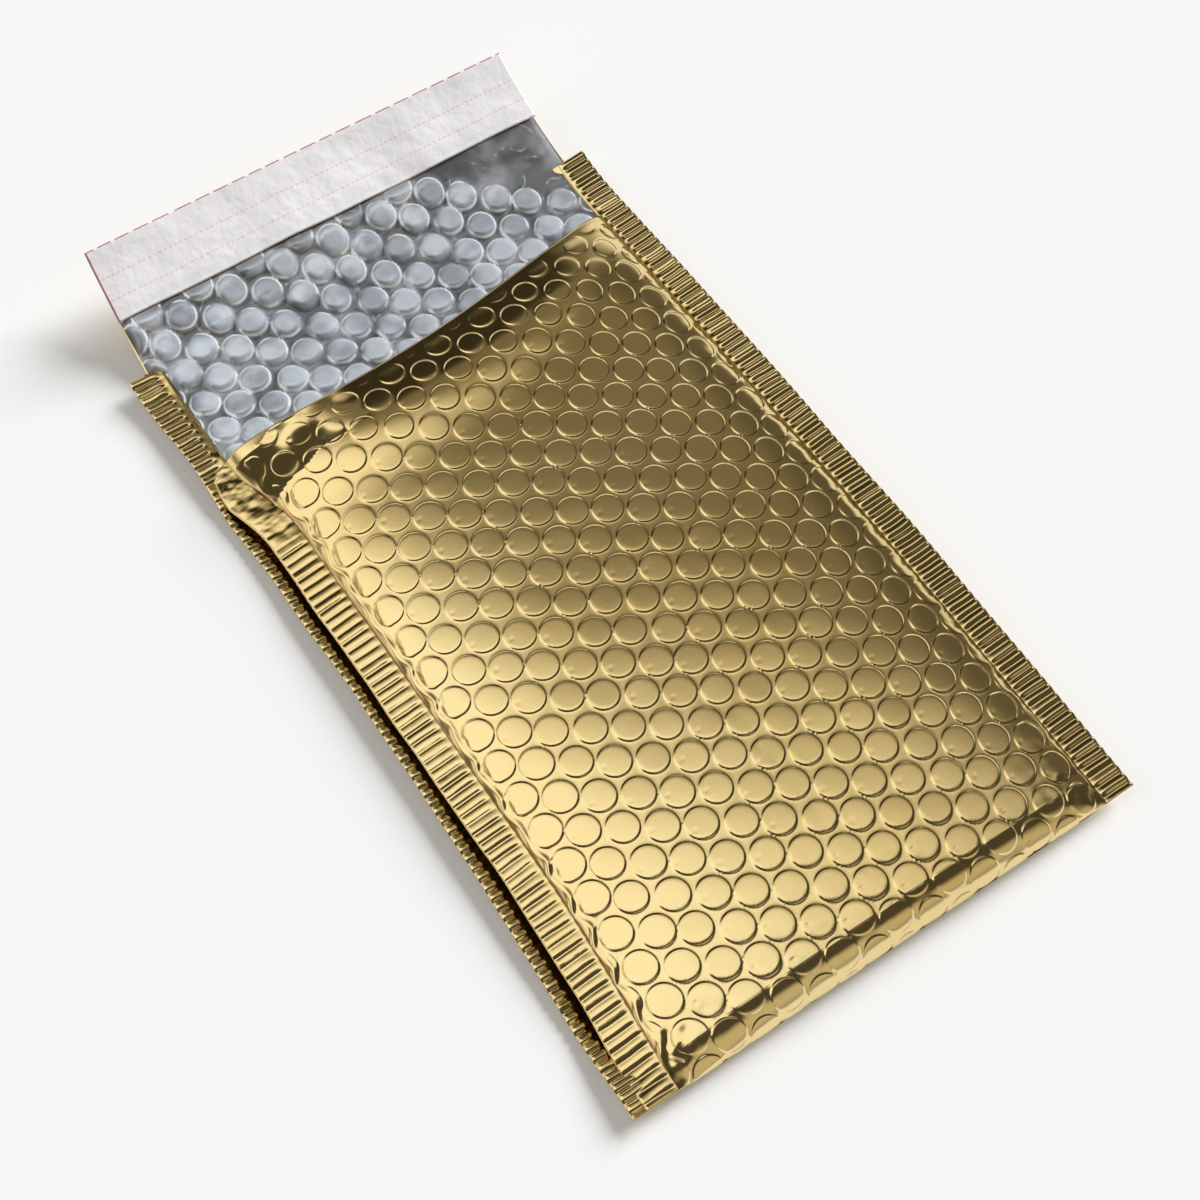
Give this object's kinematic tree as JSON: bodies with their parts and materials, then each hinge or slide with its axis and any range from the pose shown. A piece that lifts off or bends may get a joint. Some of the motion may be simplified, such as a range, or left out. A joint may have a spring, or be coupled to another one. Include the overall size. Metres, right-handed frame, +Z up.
{
  "type": "padded envelope",
  "caption": "Padded envelope of gold metallised film with a bubble lining, crimped side seams, an open mouth and a peel-and-seal flap.",
  "frame": {"origin": "on the floor, under the middle of the whole outline, flap included", "axes": "+X across the width, +Y from the bottom fold to the flap, +Z up from the back panel"},
  "size_m": [0.175, 0.326, 0.0253],
  "materials": {
    "gold_film": "satin-gloss gold metallised film, embossed by the bubbles behind it",
    "bubble_film": "clear bubble film over a silver-grey backing",
    "adhesive": "pressure-sensitive adhesive under the liner",
    "liner": "smooth white release film with thin crimson guide lines"
  },
  "bodies": {
    "root": {"outer_film": "gold_film", "bubble_lining": "bubble_film", "adhesive_strip": "adhesive", "release_liner": "liner"}
  },
  "joints": []
}
